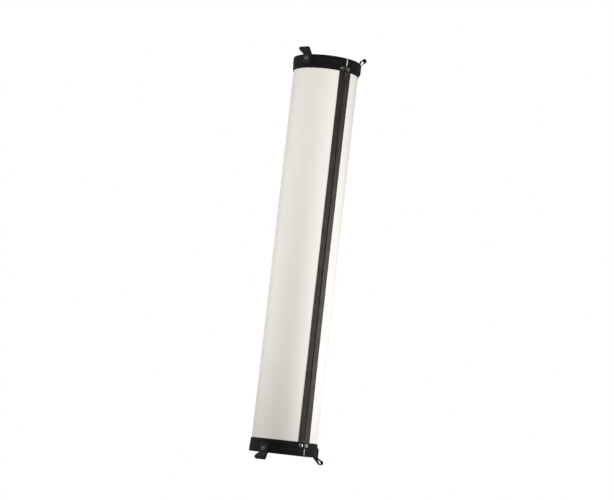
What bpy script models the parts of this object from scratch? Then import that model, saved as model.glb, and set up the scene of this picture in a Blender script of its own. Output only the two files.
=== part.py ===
"""Zip-closed light tube diffuser, in metres.

A white diffuser sheet is rolled into a tube and closed by one long zip. At each end a fabric
band binds the sheet's edge and holds a spring hoop against it, and three webbing loops with
snap fasteners leave the hem to go round a lamp's ring. +Z runs up the tube, the zip faces -Y,
and the origin is the centre of the lower rim. An azimuth is counted from the zip, to the right
of a person facing it.
"""

import math

import bmesh
import bpy
from mathutils import Matrix, Vector

MM = 0.001
GAP = 0.3 * MM

# The tube and its sheet.
LENGTH = 1219.2 * MM
SHEET_RADIUS = 100.0 * MM
SHEET_THICKNESS = 0.8 * MM
SHEET_EDGE = 6.0 * MM
SHEET_END_EDGE = 0.6 * MM
SLIT_START = 22.0 * MM
SHEET_INSET = 1.2 * MM
END_ZONE = 45.0 * MM
RING_STEPS = 70

# The bands and the hoops in their hems.
BAND_HEIGHT = 40.5 * MM
BAND_THICKNESS = 0.7 * MM
BAND_RIM_RADIUS = 104.3 * MM
BAND_EDGE_RADIUS = 102.5 * MM
BAND_HEM_RADIUS = 101.1 * MM
HEM_HEIGHT = 14.0 * MM
BAND_TAPER_END = 39.0 * MM
BAND_EDGE = 2.6 * MM
BAND_GAP_RIGHT = {"top": 1.9 * MM, "bottom": 4.6 * MM}
LIP_RADIUS = 98.2 * MM
LIP_DEPTH = 3.5 * MM
RIM_ROUNDING = 0.9 * MM
HOOP_THICKNESS = 0.8 * MM
HOOP_HEIGHT = 8.0 * MM
HOOP_EDGE = 4.5 * MM
NOTCH_START = 22.0 * MM
NOTCH_LEFT = 22.0 * MM
NOTCH_RIGHT = 25.5 * MM

# The zip: tapes outside the sheet, chains inside the slit between its edges.
TAPE_RADIUS = 101.0 * MM
TAPE_THICKNESS = 0.7 * MM
TAPE_INNER = 1.2 * MM
TAPE_OUTER = 19.6 * MM
TAPE_FLARE = 5.0 * MM
FLARE_REACH = 220.0 * MM
TAPE_FLARE_STEP = 120.0 * MM
TAPE_FLARE_STEPS = 4
TAPE_COLUMNS = 3
TAPE_START = 22.5 * MM
CHAIN_WIDTH = 2.4 * MM
CHAIN_OUT = 99.9 * MM
CHAIN_DEPTH = 2.9 * MM
CHAIN_TOP = 28.0 * MM
STOP_HEIGHT = 2.6 * MM
BOX_BOTTOM = 24.5 * MM
BOX_HEIGHT = 12.0 * MM
BOX_WIDTH = 9.0 * MM
PIN_RADIUS = 0.8 * MM
PIN_LENGTH = 8.0 * MM

# The slider, 48 mm below the top rim, and its pull.
SLIDER_Z = LENGTH - 48.0 * MM
SLIDER_LENGTH = 15.0 * MM
SLIDER_WIDTH = 11.0 * MM
PLATE_THICKNESS = 1.4 * MM
OUTER_PLATE_IN = 101.3 * MM
INNER_PLATE_OUT = 96.7 * MM
WEB_WIDTH = 1.8 * MM
WEB_LENGTH = 6.0 * MM
EAR_SPACING = 5.2 * MM
EAR_THICKNESS = 1.2 * MM
EAR_LENGTH = 4.0 * MM
PIVOT_OUT = 105.2 * MM
PIVOT_Z = SLIDER_Z - 2.0 * MM
PIVOT_RADIUS = 0.8 * MM
EYE_RADIUS = 1.9 * MM
EYE_BORE = 1.15 * MM
EYE_WIDTH = 3.2 * MM
PULL_STEM_WIDTH = 3.2 * MM
PULL_STEM_LENGTH = 6.0 * MM
PULL_LENGTH = 30.0 * MM
PULL_WIDTH = 8.0 * MM
PULL_THICKNESS = 1.4 * MM

# The capped rivets at the four ends of the tapes.
RIVET_OFFSET = 10.2 * MM
RIVET_FROM_RIM = 30.5 * MM
CAP_RADIUS = 7.5 * MM
RIVET_CAP_HEIGHT = 2.6 * MM
RIVET_POST_RADIUS = 1.7 * MM
RIVET_HOLE_RADIUS = 2.1 * MM
BURR_RADIUS = 4.5 * MM
BURR_THICKNESS = 0.9 * MM
BURR_OUT = 98.9 * MM

# The webbing loops: the (azimuth, skew, splay) of each, in degrees. A loop's skew carries its
# fold round the tube, and its splay tilts it outwards from the rim.
# Their paths are given as (radius, height beyond the rim).
LOOPS = {
    ("top", "left"): (-71.5, -2.4, 31.0),
    ("top", "right"): (71.3, -4.8, 21.8),
    ("top", "back"): (180.0, 0.0, 27.0),
    ("bottom", "left"): (-69.0, -1.2, 29.5),
    ("bottom", "right"): (71.0, -7.5, 35.0),
    ("bottom", "back"): (180.0, 0.0, 27.0),
}
LOOP_CLOSING = 29.0
SKEW_HEIGHT = 18.0 * MM
WEBBING_WIDTH = 30.0 * MM
WEBBING_THICKNESS = 1.0 * MM
TONGUE_RADIUS = 102.3 * MM
TONGUE_DEPTH = 5.0 * MM
LEAF_LENGTH = 20.0 * MM
FOLD_RADIUS = 6.0 * MM
FLAP_RADIUS = 108.0 * MM
FLAP_BEND_RADIUS = 5.0 * MM
TAIL_FROM_RIM = 29.0 * MM
TAIL_ROUNDING = 6.0 * MM
WIDTH_STEPS = 4

# The snap fasteners on the loops.
SNAP_FROM_RIM = 10.0 * MM
SNAP_CAP_HEIGHT = 2.4 * MM
SNAP_POST_RADIUS = 1.3 * MM
SNAP_HOLE_RADIUS = 1.7 * MM
SOCKET_RADIUS = 5.0 * MM
SOCKET_BORE = 2.5 * MM
SOCKET_IN = 105.6 * MM
STUD_RADIUS = 2.0 * MM
STUD_TOP = 106.5 * MM
STUD_FLANGE_RADIUS = 4.5 * MM
STUD_FLANGE = 0.6 * MM
STUD_BACK_OUT = 103.3 * MM

PARTS_NAME = "zip_light_tube_diffuser"


def clear_scene():
    for obj in list(bpy.data.objects):
        bpy.data.objects.remove(obj, do_unlink=True)


def make_collection(name):
    collection = bpy.data.collections.new(name)
    bpy.context.scene.collection.children.link(collection)
    return collection


def make_material(name, colour, roughness, metallic=0.0):
    material = bpy.data.materials.new(name)
    material.use_nodes = True
    shader = material.node_tree.nodes["Principled BSDF"]
    shader.inputs["Base Color"].default_value = (*colour, 1.0)
    shader.inputs["Roughness"].default_value = roughness
    shader.inputs["Metallic"].default_value = metallic
    return material


def direction(azimuth):
    """The unit vector out of the tube at an azimuth in radians from the zip."""
    return Vector((math.sin(azimuth), -math.cos(azimuth), 0.0))


def radial_frame(azimuth, radius, height):
    """A matrix with its Z out of the tube, its Y up and its X to the right."""
    out = direction(azimuth)
    right = Vector((math.cos(azimuth), math.sin(azimuth), 0.0))
    up = Vector((0.0, 0.0, 1.0))
    turn = Matrix((right, up, out)).transposed().to_4x4()
    return Matrix.Translation(out * radius + up * height) @ turn


def new_object(name, mesh, material=None):
    obj = bpy.data.objects.new(name, mesh)
    collection = bpy.data.collections[PARTS_NAME]
    if material is None:
        collection = bpy.data.collections["cutters"]
        obj.hide_render = True
        obj.display_type = "WIRE"
    else:
        mesh.materials.append(material)
    collection.objects.link(obj)
    return obj


def from_bmesh(name, shape, material=None):
    mesh = bpy.data.meshes.new(name)
    shape.to_mesh(mesh)
    shape.free()
    return new_object(name, mesh, material)


def profile_shape(profile, azimuth=0.0):
    """A bmesh holding a line of (radius, height) points at an azimuth."""
    shape = bmesh.new()
    out = direction(azimuth)
    points = [shape.verts.new(out * r + Vector((0.0, 0.0, z))) for r, z in profile]
    for first, second in zip(points, points[1:]):
        shape.edges.new((first, second))
    return shape


def add_solidify(obj, thickness, offset):
    solidify = obj.modifiers.new("thickness", "SOLIDIFY")
    solidify.thickness = thickness
    solidify.offset = offset
    solidify.use_even_offset = True


def arc_shell(name, profile, start, sweep, steps, thickness, material):
    """A shell round the tube's axis. Its profile is the outer face, read top to bottom."""
    obj = from_bmesh(name, profile_shape(profile, start), material)
    screw = obj.modifiers.new("turn", "SCREW")
    screw.angle = sweep
    screw.steps = steps
    screw.render_steps = steps
    screw.use_merge_vertices = False
    add_solidify(obj, thickness, -1.0)
    obj.data.shade_smooth()
    return obj


def turned(name, profile, steps, frame, material=None):
    """A turned piece: (radius, height) points run down its outer side, on the frame's Z."""
    shape = bmesh.new()
    points = [shape.verts.new((r, 0.0, z)) for r, z in profile]
    for first, second in zip(points, points[1:]):
        shape.edges.new((first, second))
    if profile[0][0] > 0.0:
        shape.edges.new((points[-1], points[0]))
    obj = from_bmesh(name, shape, material)
    obj.matrix_world = frame
    screw = obj.modifiers.new("turn", "SCREW")
    screw.steps = steps
    screw.render_steps = steps
    screw.use_merge_vertices = True
    screw.merge_threshold = 0.00001
    return obj


def box(name, size, centre, material=None, bevel=0.0):
    """A box on the tube's axes, with its edges chamfered."""
    shape = bmesh.new()
    bmesh.ops.create_cube(shape, size=1.0)
    bmesh.ops.scale(shape, vec=size, verts=shape.verts)
    bmesh.ops.translate(shape, vec=centre, verts=shape.verts)
    if bevel:
        bmesh.ops.bevel(shape, geom=shape.edges[:], offset=bevel, segments=1, affect="EDGES")
    return from_bmesh(name, shape, material)


def cylinder(name, radius, depth, frame, material=None, sides=12):
    shape = bmesh.new()
    bmesh.ops.create_cone(
        shape, cap_ends=True, segments=sides, radius1=radius, radius2=radius, depth=depth
    )
    obj = from_bmesh(name, shape, material)
    obj.matrix_world = frame
    return obj


def boolean(obj, other, operation):
    modifier = obj.modifiers.new(operation.lower(), "BOOLEAN")
    modifier.operation = operation
    modifier.object = other
    modifier.solver = "EXACT"


def hang_from(name, location, pieces):
    """Parents pieces to an empty on their joint's axis, leaving them where they are."""
    pivot = bpy.data.objects.new(name, None)
    pivot.location = location
    bpy.data.collections[PARTS_NAME].objects.link(pivot)
    for piece in pieces:
        piece.parent = pivot
        piece.matrix_parent_inverse = Matrix.Translation(-Vector(location))


def end_height(end, from_rim):
    """The height of a point a distance inside an end's rim; negative is beyond the rim."""
    return LENGTH - from_rim if end == "top" else from_rim


def end_profile(end, points):
    """Points (radius, distance inside the rim), rim first, as a profile read top to bottom."""
    profile = [(radius, end_height(end, depth)) for radius, depth in points]
    return profile if end == "top" else profile[::-1]


def make_sheet(white):
    """The sheet, with a slit for the zip. Beyond the zip's ends its edges all but meet."""
    edge = SHEET_END_EDGE / SHEET_RADIUS
    heights = (LENGTH - SHEET_INSET, LENGTH - END_ZONE, END_ZONE, SHEET_INSET)
    profile = [(SHEET_RADIUS, z) for z in heights]
    sweep = 2.0 * (math.pi - edge)
    sheet = arc_shell("diffuser_sheet", profile, edge, sweep, RING_STEPS, SHEET_THICKNESS, white)
    size = (2.0 * SHEET_EDGE, 20.0 * MM, LENGTH - 2.0 * SLIT_START)
    slit = box("diffuser_sheet_slit", size, (0.0, -SHEET_RADIUS, 0.5 * LENGTH))
    boolean(sheet, slit, "DIFFERENCE")
    return sheet


def make_band(end, black):
    """A band: a lip inside the sheet, a rim over its edge, the hem and an edge drawn in to it.

    Its two ends leave a gap a little to the right of the zip.
    """
    edge = BAND_EDGE / BAND_RIM_RADIUS
    points = (
        (LIP_RADIUS, LIP_DEPTH),
        (LIP_RADIUS, RIM_ROUNDING),
        (LIP_RADIUS + RIM_ROUNDING, 0.0),
        (BAND_RIM_RADIUS - RIM_ROUNDING, 0.0),
        (BAND_RIM_RADIUS, RIM_ROUNDING),
        (BAND_RIM_RADIUS, HEM_HEIGHT),
        (BAND_EDGE_RADIUS, BAND_TAPER_END),
        (BAND_HEM_RADIUS, BAND_HEIGHT),
    )
    sweep = 2.0 * (math.pi - edge)
    start = edge + BAND_GAP_RIGHT[end] / BAND_RIM_RADIUS
    profile = end_profile(end, points)
    band = arc_shell(f"{end}_band", profile, start, sweep, RING_STEPS, BAND_THICKNESS, black)
    depth = 30.0 * MM
    reach = BAND_HEIGHT + 5.0 * MM
    size = (NOTCH_LEFT + NOTCH_RIGHT, depth, reach - NOTCH_START)
    middle = 0.5 * (NOTCH_RIGHT - NOTCH_LEFT)
    centre = (middle, -SHEET_RADIUS, end_height(end, 0.5 * (NOTCH_START + reach)))
    boolean(band, box(f"{end}_band_notch", size, centre), "DIFFERENCE")
    return band


def make_hoop(end, steel):
    radius = SHEET_RADIUS + GAP + HOOP_THICKNESS
    edge = HOOP_EDGE / radius
    profile = end_profile(end, ((radius, SHEET_INSET), (radius, SHEET_INSET + HOOP_HEIGHT)))
    sweep = 2.0 * (math.pi - edge)
    return arc_shell(f"{end}_hoop", profile, edge, sweep, RING_STEPS, HOOP_THICKNESS, steel)


def make_tape(side, sign, black):
    """A zip tape on the sheet. The right one widens towards both of its ends."""
    heights = [TAPE_START, END_ZONE]
    heights += [TAPE_FLARE_STEP * k for k in range(1, TAPE_FLARE_STEPS + 1)]
    heights += [LENGTH - z for z in reversed(heights)]
    shape = bmesh.new()
    rows = []
    for z in heights:
        from_end = min(z, LENGTH - z)
        outer = TAPE_OUTER
        if side == "right":
            outer += TAPE_FLARE * math.exp(-from_end / FLARE_REACH)
        row = []
        for k in range(TAPE_COLUMNS + 1):
            across = TAPE_INNER + (outer - TAPE_INNER) * k / TAPE_COLUMNS
            azimuth = sign * across / TAPE_RADIUS
            row.append(shape.verts.new(direction(azimuth) * TAPE_RADIUS + Vector((0.0, 0.0, z))))
        rows.append(row if side == "right" else row[::-1])
    for low, high in zip(rows, rows[1:]):
        for k in range(TAPE_COLUMNS):
            shape.faces.new((low[k], low[k + 1], high[k + 1], high[k]))
    tape = from_bmesh(f"zip_tape_{side}", shape, black)
    add_solidify(tape, TAPE_THICKNESS, -1.0)
    return tape


def make_chain(side, sign, black, steel):
    """One half of the zip's chain, from above the box or the pin up to its top stop."""
    bottom = BOX_BOTTOM + BOX_HEIGHT + GAP
    if side == "right":
        bottom += PIN_LENGTH + GAP
    top = LENGTH - CHAIN_TOP
    across = sign * (TAPE_INNER + 0.5 * CHAIN_WIDTH)
    centre_y = -(CHAIN_OUT - 0.5 * CHAIN_DEPTH)
    size = (CHAIN_WIDTH, CHAIN_DEPTH, top - bottom)
    box(f"zip_chain_{side}", size, (across, centre_y, 0.5 * (top + bottom)), black, 0.5 * MM)
    size = (CHAIN_WIDTH + 0.6 * MM, CHAIN_DEPTH, STOP_HEIGHT)
    stop_z = top + GAP + 0.5 * STOP_HEIGHT
    box(f"zip_stop_{side}", size, (across, centre_y, stop_z), steel, 0.4 * MM)


def make_zip_end(black, steel):
    """The retainer box at the zip's lower end and the insertion pin above it."""
    centre_y = -(CHAIN_OUT - 0.5 * CHAIN_DEPTH)
    size = (BOX_WIDTH, CHAIN_DEPTH, BOX_HEIGHT)
    box("zip_retainer_box", size, (0.0, centre_y, BOX_BOTTOM + 0.5 * BOX_HEIGHT), black, 0.6 * MM)
    across = TAPE_INNER + 0.5 * CHAIN_WIDTH
    pin_z = BOX_BOTTOM + BOX_HEIGHT + GAP + 0.5 * PIN_LENGTH
    place = Matrix.Translation((across, centre_y, pin_z))
    cylinder("zip_insertion_pin", PIN_RADIUS, PIN_LENGTH, place, steel)


def make_slider(black):
    """Two plates joined by a web through the zip's groove, and the ears of the pull's pivot."""
    outer_y = -(OUTER_PLATE_IN + 0.5 * PLATE_THICKNESS)
    inner_y = -(INNER_PLATE_OUT - 0.5 * PLATE_THICKNESS)
    plate = (SLIDER_WIDTH, PLATE_THICKNESS, SLIDER_LENGTH)
    slider = box("zip_slider", plate, (0.0, outer_y, SLIDER_Z), black, 0.4 * MM)
    inner = box("slider_inner_plate", plate, (0.0, inner_y, SLIDER_Z), None, 0.4 * MM)
    web_z = SLIDER_Z + 0.5 * (SLIDER_LENGTH - WEB_LENGTH) - 2.0 * MM
    web_size = (WEB_WIDTH, inner_y - outer_y, WEB_LENGTH)
    web = box("slider_web", web_size, (0.0, 0.5 * (inner_y + outer_y), web_z))
    ear_depth = PIVOT_OUT - OUTER_PLATE_IN
    ear_y = -(OUTER_PLATE_IN + 0.5 * ear_depth + 0.6 * MM)
    ears = []
    for sign in (-1.0, 1.0):
        centre = (sign * 0.5 * EAR_SPACING, ear_y, PIVOT_Z)
        size = (EAR_THICKNESS, ear_depth, EAR_LENGTH)
        ears.append(box(f"slider_ear_{len(ears)}", size, centre, None, 0.3 * MM))
    across = Matrix.Translation((0.0, -PIVOT_OUT, PIVOT_Z)) @ Matrix.Rotation(math.pi / 2.0, 4, "Y")
    bar = cylinder("slider_bar", PIVOT_RADIUS, EAR_SPACING, across)
    for part in (inner, web, *ears, bar):
        boolean(slider, part, "UNION")
    return slider


def make_pull(black):
    """The pull tab: an eye on the slider's bar, and a plate that widens towards its end."""
    across = Matrix.Translation((0.0, -PIVOT_OUT, PIVOT_Z)) @ Matrix.Rotation(math.pi / 2.0, 4, "Y")
    eye = cylinder("pull_tab", EYE_RADIUS, EYE_WIDTH, across, black)
    stem, blade = 0.5 * PULL_STEM_WIDTH, 0.5 * PULL_WIDTH
    points = [(stem, 0.0), (stem, -PULL_STEM_LENGTH), (blade, -PULL_STEM_LENGTH - 5.0 * MM)]
    points += [(blade, -PULL_LENGTH + 2.5 * MM), (0.6 * blade, -PULL_LENGTH)]
    points += [(-x, z) for x, z in reversed(points)]
    curve = bpy.data.curves.new("pull_plate", "CURVE")
    curve.dimensions = "2D"
    curve.fill_mode = "BOTH"
    curve.extrude = 0.5 * PULL_THICKNESS
    spline = curve.splines.new("POLY")
    spline.points.add(len(points) - 1)
    for point, (x, z) in zip(spline.points, points):
        point.co = (x, z, 0.0, 1.0)
    spline.use_cyclic_u = True
    plate = mesh_from_curve(curve, "pull_plate", radial_frame(0.0, PIVOT_OUT, PIVOT_Z))
    boolean(eye, plate, "UNION")
    boolean(eye, cylinder("pull_bore", EYE_BORE, 2.0 * EYE_WIDTH, across), "DIFFERENCE")
    return eye


def mesh_from_curve(curve, name, frame):
    """A closed cutter mesh from a filled curve, with its caps welded to its sides."""
    source = bpy.data.objects.new(name + "_curve", curve)
    bpy.context.scene.collection.objects.link(source)
    graph = bpy.context.evaluated_depsgraph_get()
    mesh = bpy.data.meshes.new_from_object(source.evaluated_get(graph))
    bpy.data.objects.remove(source, do_unlink=True)
    shape = bmesh.new()
    shape.from_mesh(mesh)
    bmesh.ops.remove_doubles(shape, verts=shape.verts, dist=0.00001)
    shape.to_mesh(mesh)
    shape.free()
    obj = new_object(name, mesh)
    obj.matrix_world = frame
    return obj


def dome_profile(radius, height, post_radius, post_length, rings=4):
    """A domed cap with a post below it: a short rim, an arc to the crown, a flat base."""
    rim = 0.35 * height
    rise = height - rim
    profile = []
    for step in range(rings + 1):
        turn = 0.5 * math.pi * step / rings
        profile.append((radius * math.sin(turn), rim + rise * math.cos(turn)))
    profile += [(radius, 0.0), (post_radius, 0.0), (post_radius, -post_length), (0.0, -post_length)]
    profile[0] = (0.0, height)
    return profile


def make_rivets(sheet, tapes, nickel, steel):
    """The capped rivets through the ends of the tapes and the sheet, each with its burr."""
    base = TAPE_RADIUS + GAP
    post = base - (BURR_OUT - BURR_THICKNESS) + 0.3 * MM
    cap = dome_profile(CAP_RADIUS, RIVET_CAP_HEIGHT, RIVET_POST_RADIUS, post)
    burr = (
        (RIVET_HOLE_RADIUS, 0.0),
        (BURR_RADIUS, 0.0),
        (BURR_RADIUS, -BURR_THICKNESS),
        (RIVET_HOLE_RADIUS, -BURR_THICKNESS),
    )
    for end in ("top", "bottom"):
        for side, sign in (("left", -1.0), ("right", 1.0)):
            azimuth = sign * RIVET_OFFSET / TAPE_RADIUS
            height = end_height(end, RIVET_FROM_RIM)
            name = f"{end}_rivet_{side}"
            turned(name, cap, 16, radial_frame(azimuth, base, height), nickel)
            turned(f"{name}_burr", burr, 12, radial_frame(azimuth, BURR_OUT, height), steel)
            place = radial_frame(azimuth, SHEET_RADIUS, height)
            hole = cylinder(f"{name}_hole", RIVET_HOLE_RADIUS, 8.0 * MM, place)
            boolean(sheet, hole, "DIFFERENCE")
            boolean(tapes[side], hole, "DIFFERENCE")


def arc_points(centre, radius, start, stop, steps):
    """Points on an arc in the (radius, height) plane, angles in radians from outwards."""
    points = []
    for step in range(steps + 1):
        turn = start + (stop - start) * step / steps
        points.append((centre[0] + radius * math.cos(turn), centre[1] + radius * math.sin(turn)))
    return points


def fold_centre(splay):
    """The centre of the fold's arc, as (radius, height beyond the rim)."""
    along = (math.sin(splay), math.cos(splay))
    outward = (math.cos(splay), -math.sin(splay))
    radius = TONGUE_RADIUS + LEAF_LENGTH * along[0] + FOLD_RADIUS * outward[0]
    beyond = 1.0 * MM + LEAF_LENGTH * along[1] + FOLD_RADIUS * outward[1]
    return radius, beyond


def strap_path(splay):
    """The fixed leaf: a tongue in the hem, the splayed leaf, and the fold up to its crown."""
    crown = 0.5 * math.pi - splay
    half_gap = 0.5 * GAP / FOLD_RADIUS
    path = [(TONGUE_RADIUS, -TONGUE_DEPTH), (TONGUE_RADIUS, 0.0)]
    path += arc_points(fold_centre(splay), FOLD_RADIUS, math.pi - splay, crown + half_gap, 4)
    return path


def flap_path(splay):
    """The moving leaf: from the fold's crown down over the snap to its rounded tail."""
    crown = 0.5 * math.pi - splay
    half_gap = 0.5 * GAP / FOLD_RADIUS
    fall = splay + math.radians(LOOP_CLOSING)
    path = arc_points(fold_centre(splay), FOLD_RADIUS, crown - half_gap, -fall, 5)
    bend_drop = FLAP_BEND_RADIUS * math.sin(fall)
    bend_in = FLAP_BEND_RADIUS * (1.0 - math.cos(fall))
    run = (path[-1][0] - FLAP_RADIUS - bend_in) / math.tan(fall)
    centre = (FLAP_RADIUS + FLAP_BEND_RADIUS, path[-1][1] - run - bend_drop)
    path += arc_points(centre, FLAP_BEND_RADIUS, math.pi - fall, math.pi, 2)
    path.append((FLAP_RADIUS, -TAIL_FROM_RIM))
    return path


def lean(skew, beyond):
    """The angle that a loop's skew carries it round the tube, at a height beyond the rim."""
    return skew * min(max(beyond / SKEW_HEIGHT, 0.0), 1.0)


def webbing(name, end, azimuth, skew, path, rounded, black):
    """A strip of webbing that follows a path and curves with the tube across its width."""
    half = 0.5 * WEBBING_WIDTH / FLAP_RADIUS
    points = [(radius, end_height(end, -beyond)) for radius, beyond in path]
    shape = profile_shape(points, azimuth - half)
    tail = shape.verts[:][-1].co.z
    bmesh.ops.spin(
        shape,
        geom=shape.verts[:] + shape.edges[:],
        axis=(0.0, 0.0, 1.0),
        cent=(0.0, 0.0, 0.0),
        angle=2.0 * half,
        steps=WIDTH_STEPS,
    )
    if rounded:
        at_tail = [v for v in shape.verts if abs(v.co.z - tail) < 0.01 * MM]
        corners = [v for v in at_tail if len(v.link_faces) == 1]
        bmesh.ops.bevel(
            shape, geom=corners, offset=TAIL_ROUNDING, segments=3, affect="VERTICES"
        )
    for vert in shape.verts:
        beyond = vert.co.z - LENGTH if end == "top" else -vert.co.z
        vert.co = Matrix.Rotation(lean(skew, beyond), 3, "Z") @ vert.co
    obj = from_bmesh(name, shape, black)
    add_solidify(obj, WEBBING_THICKNESS, 0.0)
    obj.data.shade_smooth()
    return obj


def make_snap(name, end, azimuth, band, flap, nickel, steel):
    """One snap fastener: the stud in the band, the socket and the cap on the flap."""
    height = end_height(end, SNAP_FROM_RIM)
    flap_out = FLAP_RADIUS + 0.5 * WEBBING_THICKNESS
    cap_base = flap_out + GAP
    cap_post = cap_base - (SOCKET_IN + 1.4 * MM)
    profile = dome_profile(CAP_RADIUS, SNAP_CAP_HEIGHT, SNAP_POST_RADIUS, cap_post)
    cap = turned(f"{name}_snap_cap", profile, 16, radial_frame(azimuth, cap_base, height), nickel)
    depth = flap_out - WEBBING_THICKNESS - GAP - SOCKET_IN
    ring = ((SOCKET_BORE, depth), (SOCKET_RADIUS, depth), (SOCKET_RADIUS, 0.0), (SOCKET_BORE, 0.0))
    socket = turned(f"{name}_snap_socket", ring, 12, radial_frame(azimuth, SOCKET_IN, height), steel)
    front = BAND_RIM_RADIUS + GAP
    stud = (
        (0.0, STUD_TOP),
        (STUD_RADIUS, STUD_TOP),
        (STUD_RADIUS, front + STUD_FLANGE),
        (STUD_FLANGE_RADIUS, front + STUD_FLANGE),
        (STUD_FLANGE_RADIUS, front),
        (SNAP_POST_RADIUS, front),
        (SNAP_POST_RADIUS, STUD_BACK_OUT),
        (STUD_FLANGE_RADIUS, STUD_BACK_OUT),
        (STUD_FLANGE_RADIUS, STUD_BACK_OUT - STUD_FLANGE),
        (0.0, STUD_BACK_OUT - STUD_FLANGE),
    )
    turned(f"{name}_snap_stud", stud, 12, radial_frame(azimuth, 0.0, height), steel)
    place = radial_frame(azimuth, BAND_RIM_RADIUS + 2.0 * MM, height)
    hole = cylinder(f"{name}_snap_hole", SNAP_HOLE_RADIUS, 14.0 * MM, place)
    boolean(band, hole, "DIFFERENCE")
    boolean(flap, hole, "DIFFERENCE")
    return cap, socket


def cut_slot(name, end, azimuth, band):
    """Cuts the slot in a band's rim that a loop's strap comes out of."""
    half = 0.5 * WEBBING_WIDTH / FLAP_RADIUS + GAP / TONGUE_RADIUS
    radius = TONGUE_RADIUS + 0.5 * WEBBING_THICKNESS + GAP
    profile = end_profile(end, ((radius, -1.0 * MM), (radius, 1.0 * MM)))
    thickness = WEBBING_THICKNESS + 2.0 * GAP
    start = azimuth - half
    slot = arc_shell(f"{name}_slot", profile, start, 2.0 * half, WIDTH_STEPS, thickness, None)
    boolean(band, slot, "DIFFERENCE")


def make_loop(end, side, band, black, nickel, steel):
    """One webbing loop on a band, with its snap, and the empty on its fold's crown."""
    name = f"{end}_{side}"
    azimuth, skew, splay = (math.radians(angle) for angle in LOOPS[end, side])
    cut_slot(name, end, azimuth, band)
    webbing(f"{name}_strap", end, azimuth, skew, strap_path(splay), False, black)
    flap = webbing(f"{name}_flap", end, azimuth, skew, flap_path(splay), True, black)
    cap, socket = make_snap(name, end, azimuth, band, flap, nickel, steel)
    lift = FOLD_RADIUS + 0.5 * WEBBING_THICKNESS + 0.5 * GAP
    radius = fold_centre(splay)[0] + lift * math.sin(splay)
    beyond = fold_centre(splay)[1] + lift * math.cos(splay)
    pivot = direction(azimuth + lean(skew, beyond)) * radius
    pivot.z = end_height(end, -beyond)
    hang_from(f"{name}_flap_pivot", pivot, (flap, cap, socket))


def main():
    clear_scene()
    make_collection(PARTS_NAME)
    make_collection("cutters").hide_render = True
    white = make_material("diffuser_white", (0.86, 0.85, 0.82), 0.45)
    black = make_material("black_fabric", (0.012, 0.011, 0.010), 0.8)
    chain = make_material("black_nylon", (0.010, 0.010, 0.010), 0.45)
    painted = make_material("black_enamel", (0.015, 0.014, 0.014), 0.35, 0.6)
    nickel = make_material("dark_nickel", (0.10, 0.095, 0.09), 0.22, 1.0)
    steel = make_material("plain_steel", (0.45, 0.45, 0.44), 0.35, 1.0)

    sheet = make_sheet(white)
    tapes = {side: make_tape(side, sign, black) for side, sign in (("left", -1.0), ("right", 1.0))}
    for side, sign in (("left", -1.0), ("right", 1.0)):
        make_chain(side, sign, chain, steel)
    make_zip_end(chain, steel)
    slider = make_slider(painted)
    pull = make_pull(painted)
    hang_from("slider_origin", (0.0, -TAPE_RADIUS, SLIDER_Z), (slider,))
    hang_from("pull_pivot", (0.0, -PIVOT_OUT, PIVOT_Z), (pull,))
    make_rivets(sheet, tapes, nickel, steel)
    for end in ("top", "bottom"):
        band = make_band(end, black)
        make_hoop(end, steel)
        for side in ("left", "right", "back"):
            make_loop(end, side, band, black, nickel, steel)


main()
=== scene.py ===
import math

import bmesh
import bpy
import numpy as np
from mathutils import Matrix, Vector


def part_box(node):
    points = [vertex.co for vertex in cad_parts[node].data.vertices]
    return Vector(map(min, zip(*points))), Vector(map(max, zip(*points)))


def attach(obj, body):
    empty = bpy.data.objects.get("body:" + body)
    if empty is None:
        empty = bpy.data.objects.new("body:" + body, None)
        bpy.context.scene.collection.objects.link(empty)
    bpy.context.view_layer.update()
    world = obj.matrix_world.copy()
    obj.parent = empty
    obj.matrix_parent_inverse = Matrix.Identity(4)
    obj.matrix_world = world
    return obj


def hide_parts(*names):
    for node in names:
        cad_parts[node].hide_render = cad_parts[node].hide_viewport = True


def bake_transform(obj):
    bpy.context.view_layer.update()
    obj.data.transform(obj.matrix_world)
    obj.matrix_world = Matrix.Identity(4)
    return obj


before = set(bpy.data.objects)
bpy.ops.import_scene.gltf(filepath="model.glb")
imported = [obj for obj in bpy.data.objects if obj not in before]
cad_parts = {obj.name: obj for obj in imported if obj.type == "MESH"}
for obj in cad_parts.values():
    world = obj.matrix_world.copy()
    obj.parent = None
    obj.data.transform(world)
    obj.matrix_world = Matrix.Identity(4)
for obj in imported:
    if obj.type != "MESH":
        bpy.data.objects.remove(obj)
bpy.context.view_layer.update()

MM = 0.001
ENDS = ("top", "bottom")
SIDES = ("left", "right", "back")
LOOPS = {
    ("top", "left"): (-71.5, -2.4, 31.0),
    ("top", "right"): (71.3, -4.8, 21.8),
    ("top", "back"): (180.0, 0.0, 27.0),
    ("bottom", "left"): (-69.0, -1.2, 29.5),
    ("bottom", "right"): (71.0, -7.5, 35.0),
    ("bottom", "back"): (180.0, 0.0, 27.0),
}

# ---------------------------------------------------------------- sizes, from the CAD frame
SHEET_LOW, SHEET_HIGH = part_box("diffuser_sheet")
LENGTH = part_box("top_band")[1].z
SHEET_RADIUS = SHEET_HIGH.x
SHEET_THICKNESS = 0.8 * MM
SHEET_EDGE = 6.0 * MM
SHEET_END_EDGE = 0.6 * MM
SLIT_START = 22.0 * MM
BAND_HEIGHT = 40.5 * MM
BAND_RIM_RADIUS = 104.3 * MM
BAND_EDGE_RADIUS = 102.5 * MM
BAND_HEM_RADIUS = 101.1 * MM
BAND_THICKNESS = 0.7 * MM
BAND_EDGE = 2.6 * MM
BAND_GAP_RIGHT = {"top": 1.9 * MM, "bottom": 4.6 * MM}
HEM_HEIGHT = 14.0 * MM
LIP_RADIUS = 98.2 * MM
LIP_DEPTH = 3.5 * MM
TAPE_RADIUS = 101.0 * MM
TAPE_THICKNESS = 0.7 * MM
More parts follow.
